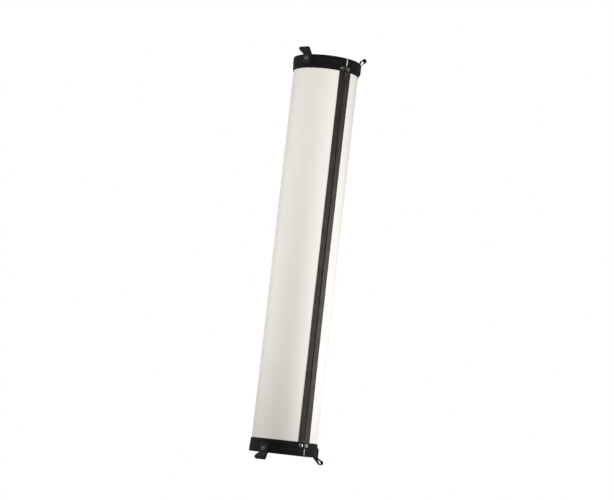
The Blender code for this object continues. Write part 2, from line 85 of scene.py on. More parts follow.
TAPE_INNER = 1.2 * MM
TAPE_OUTER = 19.6 * MM
TAPE_START = 22.5 * MM
TAPE_FLARE = 5.0 * MM
FLARE_REACH = 220.0 * MM
CHAIN_OUT = 99.9 * MM
CHAIN_DEPTH = 2.9 * MM
COIL_PITCH = 2.0 * MM
COIL_THREAD_RADIUS = 0.45 * MM
COIL_MIDDLE = 2.15 * MM
COIL_HALF_WIDTH = 1.75 * MM
COIL_HALF_DEPTH = 1.0 * MM
RIVET_OFFSET = 10.2 * MM
RIVET_FROM_RIM = 30.5 * MM
CAP_RADIUS = 7.5 * MM
SLIDER_Z = LENGTH - 48.0 * MM
PIVOT_OUT = 105.2 * MM
PIVOT_Z = SLIDER_Z - 2.0 * MM
SKEW_HEIGHT = 18.0 * MM
WEBBING_WIDTH = 30.0 * MM
WEBBING_THICKNESS = 1.7 * MM
TONGUE_RADIUS = 102.3 * MM
LOOP_CLOSING = math.radians(29.0)
LEAF_LENGTH = 20.0 * MM
FOLD_RADIUS = 6.0 * MM
FLAP_RADIUS = 108.0 * MM
TAIL_FROM_RIM = 29.0 * MM
SNAP_FROM_RIM = 10.0 * MM
SOCKET_IN = 105.6 * MM


def direction(azimuth):
    """The unit vector out of the tube at an azimuth in radians from the zip."""
    return Vector((math.sin(azimuth), -math.cos(azimuth), 0.0))


def radial_frame(azimuth, radius, height):
    """A matrix with its Z out of the tube, its Y up and its X to the right."""
    out = direction(azimuth)
    right = Vector((math.cos(azimuth), math.sin(azimuth), 0.0))
    turn = Matrix((right, Vector((0.0, 0.0, 1.0)), out)).transposed().to_4x4()
    return Matrix.Translation(out * radius + Vector((0.0, 0.0, height))) @ turn


def end_height(end, from_rim):
    """The height of a point a distance inside an end's rim; negative is beyond the rim."""
    return LENGTH - from_rim if end == "top" else from_rim


def ripple(a, b, c=0.0):
    """A smooth sum of sines, about -1 to 1, that never repeats over the piece."""
    return (
        math.sin(a * 1.0 + c)
        + 0.6 * math.sin(a * 2.3 + b * 1.7 + 1.3 + c)
        + 0.5 * math.sin(b * 3.1 - a * 0.7 + 2.1 * c)
    ) / 2.1


# ---------------------------------------------------------------- materials
def new_material(name, colour, roughness, metallic=0.0, **values):
    """A Principled material with its plain values set on the shader."""
    material = bpy.data.materials.new(name)
    material.use_nodes = True
    tree = material.node_tree
    shader = tree.nodes["Principled BSDF"]
    shader.inputs["Base Color"].default_value = (*colour, 1.0)
    shader.inputs["Roughness"].default_value = roughness
    shader.inputs["Metallic"].default_value = metallic
    for key, value in values.items():
        shader.inputs[key.replace("_", " ")].default_value = value
    return material, tree, shader


def node(tree, kind, inputs=None, **settings):
    made = tree.nodes.new(kind)
    for key, value in settings.items():
        setattr(made, key, value)
    for key, value in (inputs or {}).items():
        if isinstance(value, bpy.types.NodeSocket):
            tree.links.new(value, made.inputs[key])
        else:
            made.inputs[key].default_value = value
    return made


def maths(tree, operation, first, second=0.0):
    return node(tree, "ShaderNodeMath", {0: first, 1: second}, operation=operation).outputs[0]


def cloth_coordinates(tree):
    """Across and along the cloth, in metres, from the piece's UV map."""
    uv = node(tree, "ShaderNodeUVMap", uv_map="metres").outputs["UV"]
    parts = node(tree, "ShaderNodeSeparateXYZ", {"Vector": uv})
    return uv, parts.outputs["X"], parts.outputs["Y"]


def colour_ramp(tree, factor, stops):
    ramp = node(tree, "ShaderNodeValToRGB", {"Fac": factor})
    elements = ramp.color_ramp.elements
    while len(elements) < len(stops):
        elements.new(0.5)
    for element, (position, colour) in zip(elements, stops):
        element.position = position
        element.color = (*colour, 1.0)
    return ramp.outputs["Color"]


def mixed(tree, first, second):
    """Two colours multiplied together."""
    return node(
        tree, "ShaderNodeMixRGB", {"Fac": 1.0, "Color1": first, "Color2": second}, blend_type="MULTIPLY"
    ).outputs["Color"]


def grey(value):
    return (value, value, value)


def bump(tree, shader, height, distance, strength=1.0, under=None):
    inputs = {"Height": height, "Distance": distance, "Strength": strength}
    if under is not None:
        inputs["Normal"] = under
    made = node(tree, "ShaderNodeBump", inputs)
    tree.links.new(made.outputs["Normal"], shader.inputs["Normal"])
    return made.outputs["Normal"]


# Painted shade on the film: (share of the length, tone) stops that darken its colour over the lowest quarter,
# to 0.86 at the bottom end.
FILM_PAINTED_SHADE = ((0.0, 0.86), (0.06, 0.90), (0.14, 0.955), (0.24, 1.0))


def sheet_material():
    """White frosted film: faint cloudiness, a satin face and a very fine vertical grain.

    Its colour carries painted shade: it is a little greyer towards its lower end.
    """
    material, tree, shader = new_material(
        "diffuser_film", (0.80, 0.785, 0.75), 0.55, Specular_IOR_Level=0.12
    )
    uv, _, up = cloth_coordinates(tree)
    cloud = node(tree, "ShaderNodeTexNoise", {"Vector": uv, "Scale": 9.0, "Detail": 3.0})
    tint = ((0.25, (0.792, 0.776, 0.738)), (0.75, (0.815, 0.802, 0.772)))
    # Painted shade: the film's colour is multiplied by a tone that darkens towards its lower end.
    painted_low_shade = colour_ramp(tree, maths(tree, "DIVIDE", up, LENGTH), [(z, grey(t)) for z, t in FILM_PAINTED_SHADE])
    colour = mixed(tree, colour_ramp(tree, cloud.outputs["Fac"], tint), painted_low_shade)
    tree.links.new(colour, shader.inputs["Base Color"])
    stretch = node(tree, "ShaderNodeMapping", {"Vector": uv, "Scale": (2600.0, 60.0, 1.0)})
    grain = node(
        tree, "ShaderNodeTexNoise", {"Vector": stretch.outputs["Vector"], "Scale": 1.0, "Detail": 2.0}
    )
    gloss = colour_ramp(tree, grain.outputs["Fac"], ((0.3, grey(0.50)), (0.7, grey(0.62))))
    tree.links.new(gloss, shader.inputs["Roughness"])
    bump(tree, shader, grain.outputs["Fac"], 0.00004, 0.5)
    return material


def weave_material(name, dark, light, pitch_across, pitch_along, depth, roughness=0.85, painted_light_stops=()):
    """A plain weave: threads over and under, worn a little lighter on their crowns.

    The stops given last, as (share of the tube's length, tone), paint light and shade along the tube's
    length.
    """
    material, tree, shader = new_material(
        name, dark, roughness, Specular_IOR_Level=0.14, Sheen_Weight=0.03, Sheen_Roughness=0.5
    )
    shader.inputs["Sheen Tint"].default_value = (0.5, 0.47, 0.45, 1.0)
    uv, across, along = cloth_coordinates(tree)
    wobble = node(tree, "ShaderNodeTexNoise", {"Vector": uv, "Scale": 300.0, "Detail": 2.0})
    shift = maths(tree, "MULTIPLY", wobble.outputs["Fac"], 0.8)
    turn_across = maths(tree, "ADD", maths(tree, "MULTIPLY", across, math.pi / pitch_across), shift)
    turn_along = maths(tree, "ADD", maths(tree, "MULTIPLY", along, math.pi / pitch_along), shift)
    cells = maths(
        tree, "MULTIPLY", maths(tree, "SINE", turn_across), maths(tree, "SINE", turn_along)
    )
    height = maths(tree, "MULTIPLY_ADD", cells, 0.5)
    tree.nodes[-1].inputs[2].default_value = 0.5
    large = node(tree, "ShaderNodeTexNoise", {"Vector": uv, "Scale": 35.0, "Detail": 4.0})
    tone = maths(tree, "MULTIPLY", height, large.outputs["Fac"])
    ramp = colour_ramp(tree, tone, ((0.1, dark), (0.62, light)))
    # Painted light and shade: the colour is multiplied by a tone that changes along the tube's length.
    if painted_light_stops:
        share = maths(tree, "DIVIDE", along, LENGTH)
        ramp = mixed(tree, ramp, colour_ramp(tree, share, [(z, grey(t)) for z, t in painted_light_stops]))
    tree.links.new(ramp, shader.inputs["Base Color"])
    rough = colour_ramp(
        tree, large.outputs["Fac"], ((0.3, grey(roughness - 0.1)), (0.7, grey(roughness + 0.05)))
    )
    tree.links.new(rough, shader.inputs["Roughness"])
    bump(tree, shader, height, depth, 0.8)
    return material


def thread_material():
    material, tree, shader = new_material(
        "black_thread", (0.02, 0.019, 0.018), 0.6, Specular_IOR_Level=0.4, Sheen_Weight=0.2
    )
    where = node(tree, "ShaderNodeTexCoord").outputs["Object"]
    fibres = node(
        tree, "ShaderNodeTexNoise", {"Vector": where, "Scale": 4000.0, "Detail": 2.0}
    )
    shades = ((0.3, (0.012, 0.011, 0.01)), (0.7, (0.04, 0.038, 0.036)))
    tone = colour_ramp(tree, fibres.outputs["Fac"], shades)
    tree.links.new(tone, shader.inputs["Base Color"])
    bump(tree, shader, fibres.outputs["Fac"], 0.00004)
    return material


def metal_material(name, dark, light, rough_low, rough_high, metallic=1.0):
    """Metal or enamel with fine scuffs: brighter and smoother where it is rubbed."""
    material, tree, shader = new_material(name, dark, rough_low, metallic)
    where = node(tree, "ShaderNodeTexCoord").outputs["Object"]
    scuffs = node(tree, "ShaderNodeTexNoise", {"Vector": where, "Scale": 420.0, "Detail": 6.0})
    tone = colour_ramp(tree, scuffs.outputs["Fac"], ((0.35, dark), (0.68, light)))
    tree.links.new(tone, shader.inputs["Base Color"])
    rough = colour_ramp(
        tree, scuffs.outputs["Fac"], ((0.3, grey(rough_low)), (0.75, grey(rough_high)))
    )
    tree.links.new(rough, shader.inputs["Roughness"])
    fine = node(tree, "ShaderNodeTexNoise", {"Vector": where, "Scale": 2500.0, "Detail": 3.0})
    bump(tree, shader, fine.outputs["Fac"], 0.00002, 0.3)
    return material


def nylon_material():
    material, tree, shader = new_material("black_nylon", grey(0.0025), 0.6, Specular_IOR_Level=0.08)
    where = node(tree, "ShaderNodeTexCoord").outputs["Object"]
    haze = node(tree, "ShaderNodeTexNoise", {"Vector": where, "Scale": 900.0, "Detail": 3.0})
    rough = colour_ramp(tree, haze.outputs["Fac"], ((0.3, grey(0.55)), (0.7, grey(0.7))))
    tree.links.new(rough, shader.inputs["Roughness"])
    tone = colour_ramp(tree, haze.outputs["Fac"], ((0.3, grey(0.0015)), (0.7, grey(0.0045))))
    tree.links.new(tone, shader.inputs["Base Color"])
    bump(tree, shader, haze.outputs["Fac"], 0.00002)
    return material


FILM = sheet_material()
BAND_CLOTH = weave_material(
    "band_cloth", (0.0030, 0.0024, 0.0025), (0.0085, 0.0070, 0.0072), 0.55 * MM, 0.55 * MM, 0.00012
)
WEBBING_CLOTH = weave_material(
    "webbing_cloth", (0.011, 0.0105, 0.010), (0.034, 0.032, 0.030), 1.3 * MM, 0.8 * MM, 0.00025
)
# Both tapes carry painted light and shade along their length, lightest about a third of the way up and darker
# towards both ends.
TAPE_CLOTHS = {
    "left": weave_material(
        "zip_tape_cloth",
        (0.029, 0.0262, 0.0240),
        (0.082, 0.0760, 0.0710),
        0.9 * MM,
        0.45 * MM,
        0.00015,
        painted_light_stops=((0.03, 0.66), (0.15, 0.86), (0.35, 1.0), (0.6, 0.93), (0.82, 0.66), (0.96, 0.50)),
    ),
    # The right tape's cloth is a lighter copy of the left one's: painted light where the right tape faces the
    # right softbox.
    "right": weave_material(
        "zip_tape_painted_light",
        (0.046, 0.0425, 0.0400),
        (0.132, 0.1230, 0.1170),
        0.9 * MM,
        0.45 * MM,
        0.00015,
        painted_light_stops=((0.03, 0.70), (0.15, 0.78), (0.35, 1.0), (0.6, 0.92), (0.8, 0.64), (0.96, 0.46)),
    ),
}
THREAD = thread_material()
NICKEL = metal_material("dark_nickel", (0.14, 0.137, 0.132), (0.24, 0.235, 0.225), 0.17, 0.28)
DULL_NICKEL = metal_material("dull_nickel", (0.10, 0.096, 0.094), (0.17, 0.163, 0.16), 0.55, 0.72)
RUBBED_NICKEL = metal_material("rubbed_nickel", (0.155, 0.153, 0.137), (0.235, 0.232, 0.212), 0.58, 0.75)
STEEL = metal_material("plain_steel", (0.42, 0.42, 0.41), (0.60, 0.59, 0.58), 0.25, 0.45)
ENAMEL = metal_material("black_enamel", (0.014, 0.013, 0.013), (0.05, 0.048, 0.046), 0.28, 0.5, 0.5)
# A lighter, more metallic copy of the black enamel for the slider's bail: worn edges in part, and a painted
# highlight that makes the bail read as a grey glint.
WORN_ENAMEL_PAINTED_HIGHLIGHT = metal_material("worn_enamel_painted_highlight", (0.10, 0.097, 0.094), (0.22, 0.215, 0.21), 0.30, 0.5, 0.8)
NYLON = nylon_material()


# ---------------------------------------------------------------- mesh tools
def link(obj, material):
    bpy.context.scene.collection.objects.link(obj)
    obj.data.materials.append(material)
    return obj


def mesh_object(name, points, faces, material, uvs=None, smooth=True):
    """An object from points and faces; uvs gives one (across, along) per point, in metres."""
    mesh = bpy.data.meshes.new(name)
    mesh.from_pydata([tuple(p) for p in points], [], [tuple(f) for f in faces])
    if uvs is not None:
        layer = mesh.uv_layers.new(name="metres")
        corner = np.zeros(len(mesh.loops), np.int32)
        mesh.loops.foreach_get("vertex_index", corner)
        layer.data.foreach_set("uv", np.asarray(uvs, np.float32)[corner].ravel())
    if smooth:
        mesh.shade_smooth()
    mesh.update()
    return link(bpy.data.objects.new(name, mesh), material)


def grid_faces(rows, columns):
    faces = []
    for i in range(rows - 1):
        for j in range(columns - 1):
            a = i * columns + j
            faces.append((a, a + 1, a + columns + 1, a + columns))
    return faces


def cloth(name, rows, columns, place, material, thickness, offset=0.0):
    """A cloth of rows by columns points. place(i, j) gives the point and its (across, along)."""
    points, uvs = [], []
    for i in range(rows):
        for j in range(columns):
            point, uv = place(i, j)
            points.append(point)
            uvs.append(uv)
    obj = mesh_object(name, points, grid_faces(rows, columns), material, uvs)
    solidify = obj.modifiers.new("thickness", "SOLIDIFY")
    solidify.thickness = thickness
    solidify.offset = offset
    solidify.use_even_offset = True
    return obj


def lathe(name, profile, segments, matrix, material):
    """A turned piece round the matrix's Z. The (radius, height) profile may end on the axis."""
    points, faces, rings = [], [], []
    for radius, height in profile:
        if radius < 1e-7:
            rings.append([len(points)])
            points.append(matrix @ Vector((0.0, 0.0, height)))
            continue
        rings.append(list(range(len(points), len(points) + segments)))
        for k in range(segments):
            turn = 2.0 * math.pi * k / segments
            points.append(matrix @ Vector((radius * math.cos(turn), radius * math.sin(turn), height)))
    closed = rings + [rings[0]] if len(rings[0]) > 1 and len(rings[-1]) > 1 else rings
    for first, second in zip(closed, closed[1:]):
        for k in range(segments):
            n = (k + 1) % segments
            if len(first) == 1:
                faces.append((first[0], second[k], second[n]))
            elif len(second) == 1:
                faces.append((first[k], second[0], first[n]))
            else:
                faces.append((first[k], second[k], second[n], first[n]))
    obj = mesh_object(name, points, faces, material)
    obj.data.set_sharp_from_angle(angle=math.radians(38.0))
    return obj


def tube(points, radius, sides):
    """The points and faces of a closed tube along a path, with its ends capped."""
    path = np.asarray(points, float)
    along = np.gradient(path, axis=0)
    along /= np.linalg.norm(along, axis=1)[:, None]
    side = np.cross(along[0], (0.3, 0.5, 0.81))
    verts = []
    for k, (p, t) in enumerate(zip(path, along)):
        side = side - t * np.dot(side, t)
        side /= np.linalg.norm(side)
        other = np.cross(t, side)
        for s in range(sides):
            turn = 2.0 * math.pi * s / sides
            verts.append(p + radius * (math.cos(turn) * side + math.sin(turn) * other))
    faces = []
    for k in range(len(path) - 1):
        for s in range(sides):
            n = (s + 1) % sides
            a, b = k * sides, (k + 1) * sides
            faces.append((a + s, a + n, b + n, b + s))
    faces.append(tuple(reversed(range(sides))))
    last = (len(path) - 1) * sides
    faces.append(tuple(range(last, last + sides)))
    return verts, faces


def joined(name, shapes, material):
    """One object from several (points, faces) shapes."""
    points, faces = [], []
    for verts, polygons in shapes:
        start = len(points)
        points += list(verts)
        faces += [tuple(start + i for i in polygon) for polygon in polygons]
    return mesh_object(name, points, faces, material)


STITCH_LENGTH = 2.5 * MM
STITCH_PITCH = 3.3 * MM
THREAD_RADIUS = 0.24 * MM


def stitch(centre, along, out):
    """One stitch: a short thread that dips into the cloth at both ends."""
    path = []
    for step in range(5):
        t = step / 4.0 - 0.5
        lift = 0.16 * MM - 1.6 * MM * t * t * 1.3
        path.append(centre + along * (t * STITCH_LENGTH) + out * lift)
    return tube(path, THREAD_RADIUS, 6)


def ring_stitches(name, radius, height, edge, material=THREAD):
    """A row of stitches round the tube, from one side of the zip to the other."""
    sweep = 2.0 * (math.pi - edge)
    count = int(sweep * radius / STITCH_PITCH)
    shapes = []
    for k in range(count):
        azimuth = edge + sweep * (k + 0.5) / count
        out = direction(azimuth)
        along = Vector((math.cos(azimuth), math.sin(azimuth), 0.0))
        shapes.append(stitch(out * radius + Vector((0.0, 0.0, height)), along, out))
    return joined(name, shapes, material)


def ride_root(obj, slot, *nodes):
    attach(obj, "root")
    if nodes:
        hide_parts(*nodes)
    return obj


# ---------------------------------------------------------------- the diffuser sheet
def make_sheet():
    """The film: true at the hooped ends, with the slightest unevenness along the zip's seam."""
    columns = 181
    start = SHEET_EDGE / SHEET_RADIUS
    middle = SHEET_RADIUS - 0.5 * SHEET_THICKNESS
    inner, outer = SLIT_START, LENGTH - SLIT_START
    levels = [SHEET_LOW.z + (inner - SHEET_LOW.z) * k / 6.0 for k in range(7)]
    levels += [inner + 0.4 * MM + (outer - inner - 0.8 * MM) * k / 146.0 for k in range(147)]
    levels += [outer + (SHEET_HIGH.z - outer) * k / 6.0 for k in range(7)]
    rows = len(levels)

    def place(i, j):
        z = levels[i]
        azimuth = start + 2.0 * (math.pi - start) * j / (columns - 1)
        if not 7 <= i < rows - 7:
            near = min(j, columns - 1 - j)
            reach = (SHEET_EDGE - SHEET_END_EDGE) * max(0.0, 1.0 - near / 3.0) ** 2
            azimuth -= math.copysign(reach / SHEET_RADIUS, 0.5 * columns - j)
        from_seam = min(azimuth, 2.0 * math.pi - azimuth) * SHEET_RADIUS
        free = math.sin(math.pi * z / LENGTH) ** 0.5 if 0.0 < z < LENGTH else 0.0
        pucker = 0.22 * MM * math.exp(-from_seam / (22.0 * MM)) * ripple(z * 70.0, azimuth * 5.0)
        sag = 0.35 * MM * ripple(z * 6.0, azimuth * 2.0, 0.7) * math.sin(0.5 * azimuth)
        radius = middle + free * (pucker + sag)
        return direction(azimuth) * radius + Vector((0.0, 0.0, z)), (azimuth * SHEET_RADIUS, z)

    sheet = cloth("diffuser_film_sheet", rows, columns, place, FILM, SHEET_THICKNESS)
    ride_root(sheet, "diffuser", "diffuser_sheet")
    return sheet


# ---------------------------------------------------------------- the bands
def band_section():
    """(radius, distance inside the rim) from the gathered edge, over the rim, to the lip."""
    half = 0.5 * BAND_THICKNESS
    outer, edge = BAND_RIM_RADIUS - half, BAND_EDGE_RADIUS - half
    section = [(BAND_HEM_RADIUS - half + 0.1 * MM, BAND_HEIGHT - 0.1 * MM)]
    for step in range(1, 6):
        turn = 0.5 * math.pi * step / 5.0
        rise = (edge - section[0][0]) * math.sin(turn)
        section.append((section[0][0] + rise, BAND_HEIGHT - 2.2 * MM * (1.0 - math.cos(turn)) - 0.1 * MM))
    start = section[-1][1]
    for step in range(1, 18):
        t = step / 17.0
        section.append((edge + (outer - edge) * t, start + (HEM_HEIGHT - start) * t))
    for step in range(1, 10):
        section.append((outer, HEM_HEIGHT - 1.3 * MM * step))
    roll, crest = 0.8 * MM, -0.6 * MM
    for step in range(0, 6):
        turn = 0.5 * math.pi * step / 5.0
        section.append((outer - roll + roll * math.cos(turn), crest + roll * (1.0 - math.sin(turn))))
    lip = LIP_RADIUS + half
    section.append((0.5 * (outer + lip), crest + 0.1 * MM))
    for step in range(0, 5):
        turn = 0.5 * math.pi * step / 4.0
        section.append((lip + roll - roll * math.sin(turn), crest + roll * (1.0 - math.cos(turn))))
    section += [(lip, 1.2 * MM), (lip, 2.2 * MM), (lip, LIP_DEPTH - 0.1 * MM)]
    return section


def make_band(end):
    """The band: stitched at its lower edge and above the hoop, its cloth a little puckered."""
    section = band_section()
    columns = 361
    start = BAND_EDGE / BAND_RIM_RADIUS
    sweep = 2.0 * (math.pi - start)
    shift = BAND_GAP_RIGHT[end] / BAND_RIM_RADIUS
    runs = [0.0]
    for (r0, d0), (r1, d1) in zip(section, section[1:]):
        runs.append(runs[-1] + math.hypot(r1 - r0, d1 - d0))
    seed = 1.0 if end == "top" else 4.0

    def place(i, j):
        radius, depth = section[i]
        azimuth = start + shift + sweep * j / (columns - 1)
        to_right = azimuth < math.pi
        from_seam = abs(azimuth if to_right else 2.0 * math.pi - azimuth) * TAPE_RADIUS
        beside = from_seam - TAPE_OUTER - (TAPE_FLARE if to_right else 0.0) - 1.0 * MM
        over_tape = 1.0 / (1.0 + math.exp(beside / (0.6 * MM)))
        on_tape = over_tape * max(0.0, min(1.0, (depth - 20.0 * MM) / (5.0 * MM)))
        radius += on_tape * max(0.0, TAPE_RADIUS + 0.5 * MM + 0.5 * BAND_THICKNESS - radius)
        if depth > 3.0 * MM and radius > SHEET_RADIUS:
            seam = math.exp(-abs(depth - 15.0 * MM) / (3.0 * MM))
            gather = math.exp(-(BAND_HEIGHT - depth) / (5.0 * MM))
            radius += (0.10 * seam + 0.22 * gather) * MM * ripple(azimuth * 61.0, depth * 300.0, seed)
            radius += 0.22 * MM * ripple(azimuth * 9.0, depth * 60.0, seed)
        height = end_height(end, depth)
        return (
            direction(azimuth) * radius + Vector((0.0, 0.0, height)),
            (azimuth * BAND_RIM_RADIUS, runs[i]),
        )

    band = cloth(f"{end}_band_cloth", len(section), columns, place, BAND_CLOTH, BAND_THICKNESS)
    ride_root(band, "band_fabric", f"{end}_band", f"{end}_hoop")
    edge = (TAPE_OUTER + 3.0 * MM) / BAND_RIM_RADIUS
    for row, (depth, radius, start_edge) in enumerate(
        (
            (BAND_HEIGHT - 5.0 * MM, BAND_EDGE_RADIUS + 0.12 * MM, edge),
            (15.0 * MM, BAND_RIM_RADIUS + 0.02 * MM, start + 0.08),
        )
    ):
        seam = ring_stitches(f"{end}_band_stitches_{row}", radius, end_height(end, depth), start_edge)
        ride_root(seam, "band_fabric")
    return band


# ---------------------------------------------------------------- the zip
def flare(side, z):
    """How much wider the right tape is, at a height, than it is halfway up."""
    if side == "left":
        return 0.0
    return TAPE_FLARE * math.exp(-min(z, LENGTH - z) / FLARE_REACH)


def make_tape(side, sign):
    """A zip tape: turned in at the groove, lying on the sheet, with a woven-in edge cord."""
    low, high = TAPE_START, LENGTH - TAPE_START
    rows = 241
    middle = TAPE_RADIUS - 0.5 * TAPE_THICKNESS
    fold = TAPE_INNER + 0.7 * MM
    section = [(fold, -1.5 * MM), (fold, -0.9 * MM), (fold + 0.2 * MM, -0.45 * MM)]
    section += [(fold + 0.7 * MM, -0.05 * MM), (fold + 1.5 * MM, 0.14 * MM), (fold + 2.6 * MM, 0.14 * MM)]
    flat = 12
    for step in range(1, flat + 1):
        section.append((fold + 2.6 * MM + (TAPE_OUTER - fold - 2.6 * MM) * step / flat, 0.0))

    def place(i, j):
        z = low + (high - low) * i / (rows - 1)
        across, rise = section[j]
        wave = 0.10 * MM * ripple(z * 90.0, across * 300.0, 1.0 if side == "left" else 2.0)
        uneven = flare(side, z) + 0.18 * MM * ripple(z * 25.0, 1.0, 3.0) * (j >= 5)
        edge = across + uneven * across / TAPE_OUTER
        azimuth = sign * edge / TAPE_RADIUS
        radius = middle + rise + wave * min(1.0, across / (6.0 * MM))
        return direction(azimuth) * radius + Vector((0.0, 0.0, z)), (sign * across, z)

    tape = cloth(f"zip_tape_{side}_cloth", rows, len(section), place, TAPE_CLOTHS[side], 0.6 * MM)
    ride_root(tape, "zip_tape", f"zip_tape_{side}")
    shapes = []
    count = int((high - low - 6.0 * MM) / STITCH_PITCH)
    for across in (6.9 * MM, 17.4 * MM):
        for k in range(count):
            z = low + 3.0 * MM + (k + 0.5) * STITCH_PITCH
            if min(z, LENGTH - z) < BAND_HEIGHT + 1.0 * MM:
                continue
            beyond = flare(side, z) if across > 0.5 * TAPE_OUTER else 0.0
            out = direction(sign * (across + beyond) / TAPE_RADIUS)
            centre = out * (TAPE_RADIUS + 0.02 * MM) + Vector((0.0, 0.0, z))
            shapes.append(stitch(centre, Vector((0.0, 0.0, 1.0)), out))
    ride_root(joined(f"zip_tape_{side}_stitches", shapes, THREAD), "zip_tape")


def make_coil(side, sign):
    """One nylon coil of the zip: a flattened helix whose loops reach the other coil's."""
    low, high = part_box(f"zip_chain_{side}")
    per_turn = 12
    turns = int((high.z - low.z) / COIL_PITCH)
    start = low.z + 0.5 * COIL_PITCH * (1.0 if sign > 0 else 1.5)
    path = []
    for k in range(turns * per_turn + 1):
        turn = 2.0 * math.pi * k / per_turn
        across = sign * (COIL_MIDDLE - COIL_HALF_WIDTH * math.cos(turn))
        depth = CHAIN_OUT - 0.5 * CHAIN_DEPTH + COIL_HALF_DEPTH * math.sin(turn)
        z = start + COIL_PITCH * k / per_turn * (turns - 1) / turns
        path.append((across, -depth, z))
    verts, faces = tube(path, COIL_THREAD_RADIUS, 6)
    coil = mesh_object(f"zip_coil_{side}", verts, faces, NYLON)
    ride_root(coil, "zip_nylon", f"zip_chain_{side}")


def rounded_box(name, size, centre, material, bevel, segments=3):
    shape = bmesh.new()
    bmesh.ops.create_cube(shape, size=1.0)
    bmesh.ops.scale(shape, vec=size, verts=shape.verts)
    bmesh.ops.translate(shape, vec=centre, verts=shape.verts)
    bmesh.ops.bevel(
        shape, geom=shape.edges[:], offset=bevel, segments=segments, profile=0.5, affect="EDGES"
    )
    mesh = bpy.data.meshes.new(name)
    shape.to_mesh(mesh)
    shape.free()
    mesh.shade_smooth()
    mesh.set_sharp_from_angle(angle=math.radians(40.0))
    return link(bpy.data.objects.new(name, mesh), material)


def box_between(name, node_name, material, bevel):
    """A rounded piece of the same place and size as a CAD node."""
    low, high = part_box(node_name)
    size = high - low
    return rounded_box(name, size, (low + high) / 2.0, material, bevel)


def outline_solid(name, outline, thickness, matrix, material, holes=(), bevel=0.25 * MM):
    """A flat plate from an outline in X and Y, centred on Z, with holes and rounded edges."""
    curve = bpy.data.curves.new(name, "CURVE")
    curve.dimensions = "2D"
    curve.fill_mode = "BOTH"
    curve.extrude = 0.5 * thickness - bevel
    curve.bevel_depth = bevel
    curve.bevel_resolution = 3
    curve.offset = -bevel
    for loop in (outline, *holes):
        spline = curve.splines.new("POLY")
        spline.points.add(len(loop) - 1)
        for point, (x, y) in zip(spline.points, loop):
            point.co = (x, y, 0.0, 1.0)
        spline.use_cyclic_u = True
    source = bpy.data.objects.new(name + "_curve", curve)
    bpy.context.scene.collection.objects.link(source)
    graph = bpy.context.evaluated_depsgraph_get()
    mesh = bpy.data.meshes.new_from_object(source.evaluated_get(graph))
    bpy.data.objects.remove(source, do_unlink=True)
    shape = bmesh.new()
    shape.from_mesh(mesh)
    bmesh.ops.remove_doubles(shape, verts=shape.verts, dist=0.000005)
    bmesh.ops.transform(shape, matrix=matrix, verts=shape.verts)
    bmesh.ops.recalc_face_normals(shape, faces=shape.faces)
    shape.to_mesh(mesh)
    shape.free()
    mesh.materials.clear()
    mesh.shade_smooth()
    mesh.set_sharp_from_angle(angle=math.radians(40.0))
    return link(bpy.data.objects.new(name, mesh), material)


def arc(cx, cy, radius, start, stop, steps=10):
    """Points on an arc, angles in degrees."""
    points = []
    for k in range(steps + 1):
        turn = math.radians(start + (stop - start) * k / steps)
        points.append((cx + radius * math.cos(turn), cy + radius * math.sin(turn)))
    return points


def make_slider():
    """The slider: two plates joined by a web, an arched bail, and a bar under it that the pull hooks on."""
    low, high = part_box("zip_slider")
    out_y = -102.0 * MM
    half_w, half_h = 5.5 * MM, 7.5 * MM
    shield = arc(2.6 * MM, half_h - 2.9 * MM, 2.9 * MM, 0, 90)
    shield += arc(-2.6 * MM, half_h - 2.9 * MM, 2.9 * MM, 90, 180)
    shield += [(-half_w, 0.5 * MM), (-4.0 * MM, -half_h + 2.0 * MM)]
    shield += arc(-2.4 * MM, -half_h + 1.6 * MM, 1.6 * MM, 180, 270, 6)
    shield += arc(2.4 * MM, -half_h + 1.6 * MM, 1.6 * MM, 270, 360, 6)
    shield += [(4.0 * MM, -half_h + 2.0 * MM), (half_w, 0.5 * MM)]
    pieces = []
    for name, y in (("zip_slider_outer", out_y), ("zip_slider_inner", -96.0 * MM)):
        place = Matrix.Translation((0.0, y, SLIDER_Z)) @ Matrix.Rotation(math.pi / 2.0, 4, "X")
        pieces.append(outline_solid(name, shield, 1.4 * MM, place, ENAMEL))
    web_size = (1.7 * MM, 5.4 * MM, 5.6 * MM)
    web_centre = (0.0, -99.0 * MM, SLIDER_Z + 2.5 * MM)
    web = rounded_box("zip_slider_web", web_size, web_centre, ENAMEL, 0.4 * MM)
    pieces.append(web)
    bail = []
    for k in range(19):
        turn = math.pi * k / 18.0
        rise = 3.9 * MM * math.sin(turn) ** 0.75 if 0 < k < 18 else 0.0
        bail.append((0.0, -(102.3 * MM + rise), PIVOT_Z + 0.6 * MM + 5.6 * MM * math.cos(turn)))
    for sign in (-1.0, 1.0):
        side = [(x + sign * 1.9 * MM, y, z) for x, y, z in bail]
        verts, faces = tube(side, 0.62 * MM, 10)
        hand = "left" if sign < 0 else "right"
        # The bail's lighter enamel is partly wear and partly a painted highlight.
        pieces.append(mesh_object(f"zip_slider_bail_{hand}", verts, faces, WORN_ENAMEL_PAINTED_HIGHLIGHT))
    bar = tube([(-2.4 * MM + 0.4 * MM * k, -PIVOT_OUT, PIVOT_Z) for k in range(13)], 0.75 * MM, 14)
    pieces.append(mesh_object("zip_slider_bar", *bar, ENAMEL))
    for piece in pieces:
        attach(piece, "slider")
    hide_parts("zip_slider")


